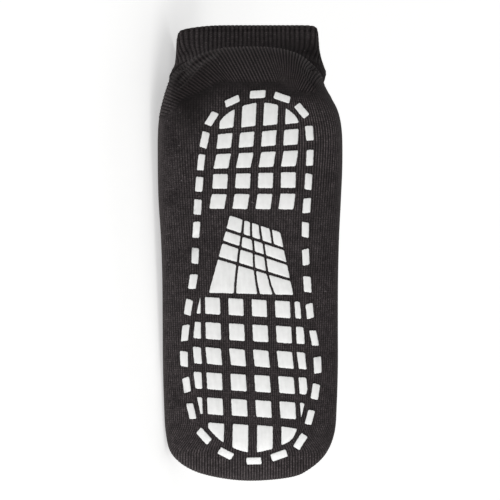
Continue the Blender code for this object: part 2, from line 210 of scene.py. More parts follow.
def measures(place, angle, point, normal):
    # what a zone can be given by: places, the sine of the angle, how far the knit faces the instep, or
    # faces sole or instep alike, metres along and across the sole, and shares of foot and heel
    x, z = point[..., 0], point[..., 2]
    return {
        "place": place, "angle": angle, "point": point, "normal": normal,
        "up": np.sin(angle), "facing": normal[..., 1], "flatness": np.abs(normal[..., 1]),
        "x": x, "z": z, "along": x / sock["footLength"], "across": z / sock["heelWidth"],
    }


def within(zone, spots):
    # what a zone gives: its first number, less where a measure isn't past its range from none to full
    amount, *ranges = zone
    for measure, none, full in ranges:
        amount = amount * smooth(none, full, spots[measure])
    return amount


def newObject(name, data):
    thing = bpy.data.objects.new(name, data)
    bpy.context.scene.collection.objects.link(thing)
    return thing


def meshFrom(bm, name):
    mesh = bpy.data.meshes.new(name)
    bm.to_mesh(mesh)
    bm.free()
    return mesh


def cornersOf(mesh):
    flat = np.zeros(len(mesh.vertices) * 3)
    mesh.vertices.foreach_get("co", flat)
    return flat.reshape(-1, 3).T


print("shape and floor frame ready")


# camera at the photo's angle: square to the sole, toes down, rolled because the sock lies on its side
view = {
    "lens": 1000.0, "sensor": 36.0,
    "frameWidth": 0.2656,  # of what the picture shows, at planeY
    "middleX": 0.1078, "planeY": 0.033, "clipStart": 0.5, "clipEnd": 60.0,
}


def makeCamera():
    data = bpy.data.cameras.new("camera")
    data.lens = view["lens"]
    data.sensor_width = view["sensor"]
    distance = view["frameWidth"] * view["lens"] / view["sensor"]
    data.clip_start = view["clipStart"]
    data.clip_end = view["clipEnd"]
    camera = newObject("camera", data)
    spot = np.array([view["middleX"], view["planeY"] - distance, 0.0]) @ turn.T - origin
    # the inner side is to the right, the toes are down and the camera looks from the sole to the instep
    pose = np.eye(4)
    pose[:3] = np.column_stack([turn[:, 2], -turn[:, 0], -turn[:, 1], spot])
    camera.matrix_world = Matrix(pose)
    bpy.context.scene.camera = camera


makeCamera()


def linear(code):
    # an sRGB hex colour as linear red, green, blue
    parts = [int(code[i:i + 2], 16) / 255 for i in (1, 3, 5)]
    return [part / 12.92 if part <= 0.04045 else ((part + 0.055) / 1.055) ** 2.4 for part in parts] + [1.0]


def addNode(tree, kind, settings, inputs):
    # one node with its settings; each input is linked, or set to a number or colour
    node = tree.nodes.new("ShaderNode" + kind)
    for name, value in settings.items():
        setattr(node, name, value)
    for name, value in inputs.items():
        if isinstance(value, bpy.types.NodeSocket):
            tree.links.new(value, node.inputs[name])
        else:
            node.inputs[name].default_value = value
    return node


def newMaterial(name, settings):
    material = bpy.data.materials.new(name)
    material.use_nodes = True
    tree = material.node_tree
    shader = tree.nodes["Principled BSDF"]
    for title, value in settings.items():
        shader.inputs[title].default_value = value
    return material, tree, shader


def ribHeight(tree, phase, sharpness):
    # a round crest for each whole number of the phase, with a narrow groove between
    turned = addNode(tree, "Math", {"operation": "MULTIPLY"}, {0: phase, 1: math.pi})
    wave = addNode(tree, "Math", {"operation": "COSINE"}, {0: turned.outputs[0]})
    crest = addNode(tree, "Math", {"operation": "ABSOLUTE"}, {0: wave.outputs[0]})
    return addNode(tree, "Math", {"operation": "POWER"}, {0: crest.outputs[0], 1: sharpness}).outputs[0]


def sumOf(tree, *terms):
    # terms are pairs of a socket and what it is multiplied by, after a first plain number
    total = terms[0]
    for socket, factor in terms[1:]:
        total = addNode(
            tree, "Math", {"operation": "MULTIPLY_ADD"}, {0: socket, 1: factor, 2: total}
        ).outputs[0]
    return total


# colours, roughness and pattern scales of the knit; the shade terms add up to a place on the ramp
knitLook = {
    # groove is painted shade in the grooves between ribs, and stretched, the ramp's top, is a painted
    # highlight on the highest crests
    "groove": "#080707",
    "body": "#282425", "bodyStop": 0.35,
    "crest": "#423d3e", "crestStop": 0.7, "stretched": "#696162",
    # the colour that painted shade multiplies into the knit
    "paintedShade": "#6c6667",
    "lint": "#7c7678", "lintRange": (0.77, 0.80), "lintMost": 0.5,
    "shadeStart": -0.66, "shadeRib": 0.96, "shadeStrength": -0.64,
    "shadeMottle": 0.72, "shadeFuzz": 1.18, "shadeStitch": 0.22,
    "ribPower": 0.8, "stitchPower": 0.9, "stitchLean": -0.45,
    # each pattern's scale, detail and roughness
    "mottle": (330.0, 3.0, 0.7),  # patches of 3 mm
    "fuzz": (1500.0, 2.0, 0.6),  # tufts of 0.7 mm, coarser than the real nap so that they show
    "specks": (620.0, 1.0, 0.5),  # whose peaks are specks under 1 mm
    "ribDepth": 0.00030, "heightStitch": 0.25, "heightFuzz": 0.55, "heightMottle": 0.5,
    "surface": {
        "Roughness": 0.95, "Specular IOR Level": 0.15,
        "Sheen Weight": 0.10, "Sheen Roughness": 0.6, "Sheen Tint": linear("#c8bcbc"),
    },
}


def combedCottonKnit():
    # Combed cotton with elastane, knitted in fine ribs: matt, dark, with soft crests, a short nap and a
    # few specks of lint. Painted shade darkens the grooves and a painted highlight lightens the highest
    # crests.
    # The real wales are 0.7 mm apart. They are drawn 1.4 mm apart, so that the render shows them.
    look = knitLook
    material, tree, shader = newMaterial("combed-cotton knit", look["surface"])
    pairs = []
    for title in ("ribs", "courses"):
        uv = addNode(tree, "UVMap", {"uv_map": title}, {}).outputs[0]
        pairs.append(addNode(tree, "SeparateXYZ", {}, {0: uv}).outputs[:2])
    (phase, strength), (course, paintedShadeAmount) = pairs
    rib = ribHeight(tree, phase, look["ribPower"])
    # each course's stitches lean to both sides of the wale's middle
    stitchPhase = sumOf(tree, 0.0, (course, 1.0), (rib, look["stitchLean"]))
    stitch = ribHeight(tree, stitchPhase, look["stitchPower"])
    place = addNode(tree, "TexCoord", {}, {}).outputs["Object"]
    mottle, fuzz, lint = [
        addNode(tree, "TexNoise", {}, {
            "Vector": place, "Scale": scale, "Detail": detail, "Roughness": roughness,
        }).outputs[0]
        for scale, detail, roughness in (look["mottle"], look["fuzz"], look["specks"])
    ]
    ribShown = addNode(tree, "Math", {"operation": "MULTIPLY"}, {0: rib, 1: strength}).outputs[0]
    shade = sumOf(
        tree, look["shadeStart"], (ribShown, look["shadeRib"]), (strength, look["shadeStrength"]),
        (mottle, look["shadeMottle"]), (fuzz, look["shadeFuzz"]), (stitch, look["shadeStitch"]),
    )
    ramp = addNode(tree, "ValToRGB", {}, {0: shade})
    # painted shade in the grooves, and a painted highlight at the ramp's top
    ramp.color_ramp.elements[0].color = linear(look["groove"])
    ramp.color_ramp.elements[1].color = linear(look["stretched"])
    ramp.color_ramp.elements.new(look["bodyStop"]).color = linear(look["body"])
    ramp.color_ramp.elements.new(look["crestStop"]).color = linear(look["crest"])
    # painted shade: the knit is darkened over the heel pouch, in its hollow and by the ankle, by the
    # amount that the second map's height holds
    paintedShade = addNode(tree, "Mix", {"data_type": "RGBA", "blend_type": "MULTIPLY"}, {
        0: paintedShadeAmount, 6: ramp.outputs[0], 7: linear(look["paintedShade"]),
    })
    # rare specks of lint
    speck = addNode(tree, "MapRange", {}, {
        0: lint, 1: look["lintRange"][0], 2: look["lintRange"][1], 3: 0.0, 4: look["lintMost"],
    })
    mixed = addNode(tree, "Mix", {"data_type": "RGBA"}, {
        0: speck.outputs[0], 6: paintedShade.outputs[2], 7: linear(look["lint"]),
    })
    tree.links.new(mixed.outputs[2], shader.inputs["Base Color"])
    height = sumOf(
        tree, 0.0, (ribShown, 1.0), (stitch, look["heightStitch"]), (fuzz, look["heightFuzz"]),
        (mottle, look["heightMottle"]),
    )
    relief = addNode(tree, "Bump", {}, {"Strength": 1.0, "Distance": look["ribDepth"], "Height": height})
    tree.links.new(relief.outputs[0], shader.inputs["Normal"])
    return material


siliconeLook = {
    "thick": "#dddddc", "thin": "#cfcfce",
    "streakScale": (70.0, 640.0, 640.0),  # streaks 14 mm long and about 1.5 mm apart
    "cloudScale": 420.0,  # clouds of 2.4 mm
    "shadeStart": -0.55, "shadeStreak": 1.2, "shadeCloud": 1.1,
    "streakDepth": 0.00006, "heightCloud": 0.6, "bump": 0.7,
    "surface": {"Roughness": 0.42, "Coat Weight": 0.08, "Coat Roughness": 0.3},
}


def printedSilicone():
    # Silicone printed thick on the knit and cured: off-white and satin. The wales beneath show as soft
    # streaks along the foot, a little greyer where the print is thin.
    look = siliconeLook
    material, tree, shader = newMaterial("printed silicone", look["surface"])
    place = addNode(tree, "TexCoord", {}, {}).outputs["Object"]
    stretched = addNode(tree, "Mapping", {}, {"Vector": place, "Scale": look["streakScale"]}).outputs[0]
    streak = addNode(tree, "TexNoise", {}, {"Vector": stretched, "Scale": 1.0, "Detail": 2.0}).outputs[0]
    cloud = addNode(tree, "TexNoise", {}, {
        "Vector": place, "Scale": look["cloudScale"], "Detail": 2.0,
    }).outputs[0]
    shade = sumOf(tree, look["shadeStart"], (streak, look["shadeStreak"]), (cloud, look["shadeCloud"]))
    ramp = addNode(tree, "ValToRGB", {}, {0: shade})
    ramp.color_ramp.elements[0].color = linear(look["thin"])
    ramp.color_ramp.elements[1].color = linear(look["thick"])
    tree.links.new(ramp.outputs[0], shader.inputs["Base Color"])
    height = sumOf(tree, 0.0, (streak, 1.0), (cloud, look["heightCloud"]))
    relief = addNode(tree, "Bump", {}, {
        "Strength": look["bump"], "Distance": look["streakDepth"], "Height": height,
    })
    tree.links.new(relief.outputs[0], shader.inputs["Normal"])
    return material


knitMaterial = combedCottonKnit()
siliconeMaterial = printedSilicone()
print("materials made")


# The knit's places run along the table of sections, and its rings are closer where ribs and folds are
# raised. A zone is what it gives and its ranges, as within() reads them.
foot = {
    "tipStep": 0.00036, "tipHalf": 0.030, "sideStep": 0.0006, "sideHalf": 0.040, "lengthStep": 0.0036,
    "end": 9.5, "around": 600, "spacedAt": 6.5, "soleWeight": 1.35, "insideRings": 16,
    "ribPitch": 0.00145, "ribMiddle": 0.6,
    "ribs": (0.00022, ("place", 3.6, 2.2), ("place", 0.0, 0.12)), "uneven": 0.35,
    "straightSole": (1.0, ("place", 4.6, 3.0), ("up", 0.15, -0.25)),
    "straightTop": (1.0, ("place", 2.62, 2.58)),
    "strength": 0.6, "toeStrength": (0.35, ("place", 3.6, 2.2)), "insideStrength": 0.3,
    "tip": (1.0, ("place", 0.0, 0.25)),
    "seam": (0.0007, ("up", 0.10, 0.42)),
    "seamPlace": 2.55, "seamWidth": 0.16, "seamStitches": 190, "seamUneven": 0.3,
}
heel = {
    "end": cuffPlace, "around": 580, "spacedAt": 13.5, "soleWeight": 1.9,
    # first and last place of each stretch of rings and how many it has
    "rings": ((foot["end"], 11.5, 14), (11.5, 16.8, 120), (16.8, cuffPlace, 10)),
    "insideRings": 20,
    # how far the pouch's outer and inner corner have fallen in, the way each heads and its half width
    "fallen": ((0.0052, 40, 19), (0.0048, -47, 18)),
    "pouch": (1.0, ("place", 12.2, 13.2), ("place", 16.3, 15.3), ("flatness", 0.85, 0.50)),
    "fan": (1.0, ("place", 17.4, 16.4), ("facing", 0.5, 0.1)),
    "fanPitch": 0.0018, "fanDepth": 0.00055, "fanFade": 0.004, "fanStrength": 2.0,
    "ribMiddle": 0.6, "uneven": 0.35,
    "leanFrom": 0.0236, "leanTo": 0.0550,
    "lean": (0.5, ("z", 0.008, 0.040), ("facing", 0.85, -0.35)),
    "strength": 0.6,
    "gusset": (0.5, ("z", 0.014, 0.030), ("x", 0.085, 0.050)), "rolled": (0.6, ("z", -0.036, -0.043)),
}
cuff = {
    "step": 0.0003, "stepEnd": 0.12,
    "ribs": 88, "samples": 8, "rings": 44, "insideRings": 26, "spacedAt": 19.2,
    "turnStart": rimRow - 0.02, "turnReach": 0.05, "turnRings": 8,
    "ribMiddle": 0.85,
    "ribDepth": (0.00050, ("place", cuffPlace, cuffPlace + 0.25)),
    "rimLess": (0.5, ("place", 19.76, 19.84)), "insideRibs": 0.35,
    # the ribs differ less towards the first and the last, so that these two meet
    "uneven": (0.3, ("share", 0, 0.04), ("share", 1, 0.96)),
    "strength": 0.65, "insideStrength": 0.5,
    "welt": (0.0003, ("place", 19.77, 19.83)),
    "groovePlace": 19.75, "grooveWidth": 0.03, "grooveDepth": 0.0003,
    "cornerAngle": 217, "cornerSpread": (50, 16), "cornerDip": 0.25,
    "squarer": (1.3, ("place", 18.6, 19.8)),
}
# as drawn: wales round the sock, and the pitch of wales and courses
walesAround = 190
walePitch = 0.00138
coursePitch = 0.0011


def spacedAngles(place, count, soleWeight):
    # angles an even way apart round one section, closer under the sole
    fine = np.linspace(0, 2 * math.pi, 4001)
    steps = np.linalg.norm(np.diff(knitPoint(place, fine), axis=0), axis=1)
    steps = steps * (1 + (soleWeight - 1) * smooth(0.15, -0.15, np.sin((fine[1:] + fine[:-1]) / 2)))
    length = np.concatenate([[0], np.cumsum(steps)])
    return np.interp(np.linspace(0, length[-1], count + 1), length, fine)


def toePlaces():
    # rings a small step of half width apart over the toe, then an even way apart along the sole
    fine = np.linspace(0, 4, 4001)
    half = sectionAt(fine)[4:6].mean(axis=0)
    first = np.arange(0, foot["tipHalf"], foot["tipStep"])
    second = np.arange(foot["tipHalf"], foot["sideHalf"], foot["sideStep"])
    places = np.interp(np.concatenate([first, second]), half, fine)
    wayLeft = sectionAt(places[-1])[0] - sectionAt(foot["end"])[0]
    count = int(wayLeft / foot["lengthStep"])
    return np.concatenate([places, np.linspace(places[-1], foot["end"], count + 1)[1:]])


def smoothLine(points, steps):
    # a curve through every point of a short list
    spots = [np.array(point, float) for point in points]
    spots = [2 * spots[0] - spots[1], *spots, 2 * spots[-1] - spots[-2]]
    line = [between(*spots[i:i + 4], k / steps) for i in range(len(points) - 1) for k in range(steps)]
    return np.array([*line, spots[-2]])


def alongLine(line, x, z):
    # distance from a plan line, and the share of the way along it
    gap = np.full(x.shape, 1e9)
    share = np.zeros(x.shape)
    for i, point in enumerate(line):
        away = np.hypot(x - point[0], z - point[1])
        closer = away < gap
        gap = np.where(closer, away, gap)
        share = np.where(closer, i / (len(line) - 1), share)
    return gap, share


# Folds of the slack knit on the sole side: height, half width and the share of the way over which each
# end fades, then the line, through (x, z) points in shares of foot length and heel width. A fold raises
# the knit towards the sole, or sinks it where its height is minus.
soleFolds = (
    # groove between the pouch's two lips, on the outer side
    (-0.0034, 0.0016, 0.25, (
        (0.090, -0.401), (0.0762, -0.3779), (0.0624, -0.3529), (0.0508, -0.3219), (0.0409, -0.2909),
        (0.0326, -0.2599), (0.025, -0.230), (0.018, -0.195), (0.011, -0.160))),
    # inner lip, which goes on as the pouch's edge
    (0.001, 0.0016, 0.2, (
        (0.112, -0.408), (0.0855, -0.3801), (0.064, -0.3376), (0.048, -0.285), (0.035, -0.235),
        (0.024, -0.185), (0.016, -0.135))),
    # outer lip
    (0.0012, 0.0016, 0.2, (
        (0.118, -0.450), (0.090, -0.422), (0.0707, -0.397), (0.0557, -0.3688), (0.0425, -0.3368),
        (0.0293, -0.2985), (0.0194, -0.2523))),
    # hollow inside the pouch
    (-0.0034, 0.005, 0.3, (
        (0.079, -0.205), (0.0855, -0.2365), (0.1053, -0.2909), (0.1333, -0.3414), (0.1515, -0.380),
        (0.1801, -0.405), (0.220, -0.4105), (0.250, -0.400))),
    # roll along the outer edge
    (0.0016, 0.0036, 0.3, (
        (0.100, -0.448), (0.128, -0.457), (0.1686, -0.466), (0.2379, -0.464), (0.3072, -0.454))),
    # swelling below the inner gore, and the dip above it
    (0.0011, 0.005, 0.35, ((0.115, 0.290), (0.140, 0.350), (0.170, 0.400))),
    (-0.001, 0.004, 0.35, ((0.085, 0.200), (0.100, 0.290), (0.105, 0.370))),
    # slanting slack folds beside the arch and the heel
    (-0.0025, 0.004, 0.4, ((0.356, -0.470), (0.330, -0.380), (0.315, -0.290))),
    (-0.0029, 0.0027, 0.35, ((0.500, -0.450), (0.465, -0.345), (0.440, -0.242), (0.417, -0.160))),
    (0.0018, 0.0034, 0.4, ((0.425, -0.450), (0.395, -0.360), (0.380, -0.270))),
    (-0.0019, 0.0046, 0.4, ((0.235, -0.430), (0.215, -0.390), (0.200, -0.330))),
    (-0.0018, 0.0042, 0.4, ((0.270, 0.470), (0.290, 0.400), (0.310, 0.340))),
    (-0.0025, 0.004, 0.4, ((0.465, 0.460), (0.495, 0.390), (0.520, 0.320))),
    (-0.0028, 0.005, 0.4, ((0.730, -0.420), (0.780, -0.405), (0.820, -0.360))),
    (-0.0019, 0.0048, 0.4, ((0.650, 0.440), (0.690, 0.410), (0.730, 0.390))),
)


# the same on the instep side, where the empty sock has sunk and the ankle bends
instepFolds = (
    (-0.0035, 0.0044, 0.35, ((0.400, -0.420), (0.455, -0.260), (0.500, -0.080), (0.520, 0.080))),
    (0.0022, 0.0043, 0.40, ((0.455, -0.440), (0.515, -0.270), (0.560, -0.090))),
    (-0.0038, 0.0059, 0.35, ((0.480, 0.340), (0.580, 0.250), (0.690, 0.180), (0.800, 0.150))),
    (0.0022, 0.0049, 0.40, ((0.560, 0.380), (0.650, 0.320), (0.760, 0.290))),
    (-0.0032, 0.0053, 0.35, ((0.620, -0.340), (0.720, -0.250), (0.810, -0.120), (0.870, 0.020))),
    (-0.0029, 0.0043, 0.35, ((0.340, 0.020), (0.400, 0.160), (0.430, 0.320), (0.410, 0.420))),
    (0.0019, 0.0037, 0.40, ((0.385, -0.020), (0.440, 0.120), (0.475, 0.260))),
    (-0.0019, 0.0039, 0.35, ((0.860, -0.300), (0.905, -0.160), (0.915, 0.020), (0.890, 0.160))),
    (-0.0026, 0.0039, 0.35, ((0.300, -0.460), (0.330, -0.320), (0.330, -0.180))),
)
# where the two sides' folds reach
soleSide = (1.0, ("facing", 0.02, -0.25), ("place", 17.2, 16.4))
instepSide = (1.0, ("facing", 0.15, 0.55), ("place", 13.0, 12.0))


def foldHeight(folds, x, z):
    # how far the folds bring the knit outwards
    lifted = np.zeros(x.shape)
    length, width = sock["footLength"], sock["heelWidth"]
    for height, half, fade, points in folds:
        line = smoothLine([(a * length, b * width) for a, b in points], 8)
        reach = 3 * half
        low, high = line.min(axis=0) - reach, line.max(axis=0) + reach
        close = (x > low[0]) & (x < high[0]) & (z > low[1]) & (z < high[1])
        gap, share = alongLine(line, x[close], z[close])
        ends = smooth(0, fade, share) * smooth(1, 1 - fade, share)
        lifted[close] += height * ends * bump(gap, 0, half)
    return lifted


# Soft creases where the ankle bends and the empty foot slumps: place, angle, how far each side of that
# angle in degrees, half width in places, lift, and how many places the ends lie from the middle.
creases = (
    (12.9, 90, 62, 0.34, -0.0030, -0.35),
    (13.8, 84, 50, 0.26, 0.0012, -0.30),
    (12.1, 98, 48, 0.24, 0.0011, -0.30),
    (14.7, 96, 44, 0.30, -0.0016, -0.25),
    (10.6, 72, 34, 0.42, -0.0012, 0.30),
    (7.4, 118, 30, 0.55, -0.0010, -0.5),
    (4.6, 84, 36, 0.42, -0.0011, 0.25),
    (16.7, 262, 60, 0.42, -0.0014, 0.2),
    (17.5, 190, 34, 1.10, 0.0035, 0.0),
    (18.2, 350, 32, 1.35, 0.0035, 0.0),
)


def slackCreases(place, angle):
    lift = np.zeros(place.shape)
    for middle, facing, reach, width, height, bow in creases:
        share = ((np.degrees(angle) - facing + 180) % 360 - 180) / reach
        lift += height * bump(place, middle + bow * share * share, width) * bump(share, 0, 0.75)
    return lift


def softForms(spots):
    # the pouch's corners have fallen in, more on the outer side, and the ankle stands out beside them
    point, normal = spots["point"], spots["normal"]
    heading = np.degrees(np.arctan2(-normal[..., 2], -normal[..., 0]))
    fallen = sum(depth * bump(heading, middle, width) for depth, middle, width in heel["fallen"])
    fallen = fallen * within(heel["pouch"], spots)
    flat = unit(normal * np.array([1.0, 0.0, 1.0]))
    moved = slackCreases(spots["place"], spots["angle"])[..., None] * normal - fallen[..., None] * flat
    x, z = point[..., 0] + moved[..., 0], point[..., 2] + moved[..., 2]
    moved[..., 1] += within(instepSide, spots) * foldHeight(instepFolds, x, z)
    moved[..., 1] -= within(soleSide, spots) * foldHeight(soleFolds, x, z)
    return moved


# painted shade: how much shade is painted on the knit, from 0 to 1, and how much each zone adds; the roll
# and the cuff's outer end take some away, which is painted light
paintedShading = {
    "plain": 0.305,
    "roll": (1.0, ("across", -0.40, -0.45), ("along", 0.07, 0.10)),
    "rollPlain": 0.4, "rollPouch": 0.9,
    "pouch": (1.0, ("along", 0.155, 0.085)),
    "pouchInner": 0.49, "pouchOuter": (0.11, ("across", -0.05, -0.20)),
    "hollow": 0.7, "hollowMiddle": (0.135, -0.325), "hollowNarrower": 1.4, "hollowRadius": 0.085,
    "ankle": (0.62, ("across", 0.0, 0.25), ("place", 15.6, 16.6), ("facing", 0.4, 0.0)),
    "innerSole": (0.10, ("facing", 0.3, -0.1), ("across", 0.05, 0.40)),
    "cuffLight": (1.0, ("up", 0.3, 0.0), ("z", -0.010, -0.032)),
    "cuffDark": (0.65, ("up", 0.3, 0.0), ("place", 19.8, 18.7), ("z", -0.030, 0.012)),
}


def paintedShadeAt(spots):
    # 0 where no shade is painted, 1 where the most is: painted shade over the pouch, in its hollow, by the
    # ankle and on the inner sole, less of it on the outer roll
    roll = within(paintedShading["roll"], spots)
    pouch = within(paintedShading["pouch"], spots) * (paintedShading["pouchInner"] + within(paintedShading["pouchOuter"], spots))
    middleX, middleZ = paintedShading["hollowMiddle"]
    away = np.hypot((spots["along"] - middleX) * paintedShading["hollowNarrower"], spots["across"] - middleZ)
    hollow = paintedShading["hollow"] * bump(away, 0, paintedShading["hollowRadius"])
    tone = paintedShading["plain"] * (1 - paintedShading["rollPlain"] * roll)
    tone = tone + (pouch + hollow) * (1 - paintedShading["rollPouch"] * roll)
    return np.clip(tone + within(paintedShading["ankle"], spots) + within(paintedShading["innerSole"], spots), 0, 1)


# The heel pouch's wales start at its lip and spread: x and z of each start, in shares of foot length
# and heel width, the way it runs in degrees from the inner side towards the toes, and how far, in metres.
fanRays = (
    (0.1640, -0.4757, 14, 0.002), (0.1293, -0.4594, 20, 0.006), (0.0970, -0.4214, 28, 0.010),
    (0.0728, -0.3616, 35, 0.013), (0.0413, -0.2691, 42, 0.015), (0.0189, -0.1767, 57, 0.018),
    (0.0079, -0.0897, 63, 0.020), (0.0021, 0.0082, 66, 0.021), (0.0021, 0.0897, 70, 0.021),
    (0.0099, 0.1930, 88, 0.021), (0.0254, 0.2691, 103, 0.020), (0.0457, 0.3289, 116, 0.016),
    (0.0755, 0.3942, 124, 0.010),
)


def fanRibs(spots):
    # the rib's number and how strongly it shows
    x, z = spots["x"], spots["z"]
    size = np.array([sock["footLength"], sock["heelWidth"], 1, 1])
    rays = smoothLine(np.array(fanRays) * size, 8)
    way = np.concatenate([[0], np.cumsum(np.linalg.norm(np.diff(rays[:, :2], axis=0), axis=1))])
    along, gap, reach = np.zeros(x.shape), np.full(x.shape, -1e9), np.zeros(x.shape)
    found = np.zeros(x.shape, bool)
    phase = np.zeros(x.shape)
    for number, (startX, startZ, degrees, length) in enumerate(rays):
        downX, downZ = math.sin(math.radians(degrees)), math.cos(math.radians(degrees))
        off = (x - startX) * downZ - (z - startZ) * downX
        run = (x - startX) * downX + (z - startZ) * downZ
        if number > 0:
            here = ~found & (gap <= 0) & (off > 0)
            share = np.where(here, -gap / np.maximum(off - gap, 1e-9), 0)
            stride = (way[number] - way[number - 1]) / heel["fanPitch"]
            phase = np.where(here, way[number - 1] / heel["fanPitch"] + share * stride, phase)
            along, reach = np.where(here, run, along), np.where(here, length, reach)
            found |= here
        gap = off
    weight = np.where(found, smooth(reach + heel["fanFade"], reach - heel["fanFade"], along), 0)
    return phase, weight * within(heel["fan"], spots)


def arcAround(points, angles):
    # signed way round each ring from the middle of the sole, and the ring's whole length
    steps = np.linalg.norm(np.diff(points, axis=1), axis=2)
    length = np.concatenate([np.zeros((len(points), 1)), np.cumsum(steps, axis=1)], axis=1)
    middle = int(np.argmin(np.abs(angles - 1.5 * math.pi)))
    return length - length[:, middle:middle + 1], length[:, -1:]


def skin(name, rings, angles, reliefAt):
    # a closed skin rolled from one grid; rings hold place, lift and whether they are inside
    bm = bmesh.new()
    bmesh.ops.create_grid(bm, x_segments=len(angles) - 1, y_segments=len(rings) - 1, size=1.0)
    mesh = meshFrom(bm, name)
    across, along, _ = cornersOf(mesh)
    column = np.rint((across + 1) / 2 * (len(angles) - 1)).astype(int)
    row = np.rint((along + 1) / 2 * (len(rings) - 1)).astype(int)
    place, lift, inside = [np.array(part)[:, None] for part in zip(*rings)]
    place, angle = np.broadcast_arrays(place, angles[None, :])
    place = place - rimDip(place, angle)
    # the rim's corners are squarer than the rest of the leg
    point = knitPoint(place, angle, 1 + within(cuff["squarer"], {"place": place}))
    normal = knitNormal(place, angle)
    spots = measures(place, angle, point, normal)
    relief, ribs, courses = reliefAt(spots, inside)
    lowest = np.where(inside, sock["knitWall"], 0.0)
    placed = laid(point + softForms(spots) + (lift + relief)[..., None] * normal, lowest)
    mesh.vertices.foreach_set("co", placed[row, column].ravel())
    corners = np.zeros(len(mesh.loops), int)
    mesh.loops.foreach_get("vertex_index", corners)
    # the second map holds the course number and the amount of painted shade
    for title, (u, v) in (("ribs", ribs), ("courses", courses)):
        pair = np.stack([u * np.ones(place.shape), v * np.ones(place.shape)], axis=-1)
        mesh.uv_layers.new(name=title).data.foreach_set("uv", pair[row, column][corners].ravel())
    bm = bmesh.new()
    bm.from_mesh(mesh)
    bmesh.ops.remove_doubles(bm, verts=bm.verts, dist=2e-6)
    bmesh.ops.recalc_face_normals(bm, faces=bm.faces)
    bm.to_mesh(mesh)
    bm.free()
    mesh.shade_smooth()
    mesh.set_sharp_from_angle(angle=math.radians(70))
    addPiece(name, mesh, knitMaterial, "sock_body")


def addPiece(name, mesh, material, node):
    mesh.materials.clear()
    mesh.materials.append(material)
    piece = newObject(name, mesh)
    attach(piece, "root")
    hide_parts(node)


def rimDip(place, angle):
    # the collar's outer corner hangs a little lower than the rest of its rim
    share = np.clip((place - cuffPlace) / (rimRow - cuffPlace), 0, 1)
    off = np.degrees(angle) - cuff["cornerAngle"]
    spread = np.where(off < 0, *cuff["cornerSpread"])
    return cuff["cornerDip"] * share ** 2 * bump(off / spread, 0, 1)


def courseWay(point):
    # the number of courses up to each ring
    steps = np.linalg.norm(np.diff(point, axis=0), axis=2).mean(axis=1)
    return np.concatenate([[0], np.cumsum(steps)])[:, None] / coursePitch


def ribShape(phase):
    # the same crests as the material's
    return np.abs(np.cos(math.pi * phase)) ** knitLook["ribPower"]


def waver(phase, place, size):
    # no rib is quite like the next
    return 1 + size * np.sin(2.3 * phase + 1.7 * np.sin(5.1 * place)) * np.sin(0.77 * phase + 3 * place)


def footRelief(spots, inside):
    place, angle = spots["place"], spots["angle"]
    arc, whole = arcAround(spots["point"], angle[0])
    wales = arc / np.maximum(whole, 1e-6) * walesAround
    # the wales are spread evenly round the sock, but run straight along it over the toe
    straight = spots["z"] / foot["ribPitch"]
    top = within(foot["straightTop"], spots) * (spots["up"] > 0)
    phase = wales + (straight - wales) * np.maximum(within(foot["straightSole"], spots), top)
    ribs = within(foot["ribs"], spots) * (ribShape(straight) - foot["ribMiddle"])
    ribs = ribs * waver(straight, place, foot["uneven"])
    seam = within(foot["seam"], spots) * bump(place, foot["seamPlace"], foot["seamWidth"])
    seam = seam * (1 + foot["seamUneven"] * np.sin(angle * foot["seamStitches"]))
    strength = (foot["strength"] + within(foot["toeStrength"], spots)) * within(foot["tip"], spots)
    strength = np.where(inside, foot["insideStrength"], strength)
    # the second pair is the course number and the painted shade
    return (ribs + seam) * ~inside, (phase, strength), (courseWay(spots["point"]), paintedShadeAt(spots))


def heelRelief(spots, inside):
    arc, whole = arcAround(spots["point"], spots["angle"][0])
    # below the inner gore the wales lean outwards
    leanRoom = heel["leanTo"] - heel["leanFrom"]
    short = np.clip(heel["leanTo"] - spots["x"], 0, leanRoom)
    leaning = within(heel["lean"], spots) * short ** 2 / (2 * leanRoom)
    wales = arc / whole * walesAround + leaning / walePitch
    phase, weight = fanRibs(spots)
    fan = 2 * weight * ~inside - 1
    around = heel["strength"] + within(heel["gusset"], spots)
    shown = np.where(fan > 0, heel["fanStrength"] * fan, -around * fan)
    shown = shown * (1 - within(heel["rolled"], spots))
    joined = np.where(fan > 0, phase, wales)
    raised = heel["fanDepth"] * np.maximum(fan, 0) * (ribShape(phase) - heel["ribMiddle"])
    raised = raised * waver(phase, spots["place"], heel["uneven"])
    # the second pair is the course number and the painted shade
    return raised, (joined, shown), (courseWay(spots["point"]), paintedShadeAt(spots))


def cuffRelief(spots, inside):
    place = spots["place"]
    share = np.linspace(0, 1, place.shape[1])[None, :] * np.ones(place.shape)
    phase = share * cuff["ribs"]
    shape = ribShape(phase) - cuff["ribMiddle"]
    shape = shape * waver(phase, place, within(cuff["uneven"], {"share": share}))
    ribs = within(cuff["ribDepth"], spots) * (1 - within(cuff["rimLess"], spots)) * shape
    groove = cuff["grooveDepth"] * bump(place, cuff["groovePlace"], cuff["grooveWidth"])
    relief = np.where(inside, cuff["insideRibs"] * ribs, ribs + within(cuff["welt"], spots) - groove)
    # painted light at its underside's outer end and painted shade at the inner one, towards the heel
    tone = paintedShading["plain"] * (1 - within(paintedShading["cuffLight"], spots)) + within(paintedShading["cuffDark"], spots)
    strength = np.where(inside, cuff["insideStrength"], cuff["strength"])
    return relief, (phase, strength), (courseWay(spots["point"]), tone)


def innerRings(start, end, count):
    return [(place, -sock["knitWall"], True) for place in np.linspace(start, end, count)]


def makeFoot():
    rings = [(place, 0.0, False) for place in toePlaces()]
    rings += innerRings(foot["end"], 0, foot["insideRings"])
    angles = spacedAngles(foot["spacedAt"], foot["around"], foot["soleWeight"])
    skin("knitFoot", rings, angles, footRelief)


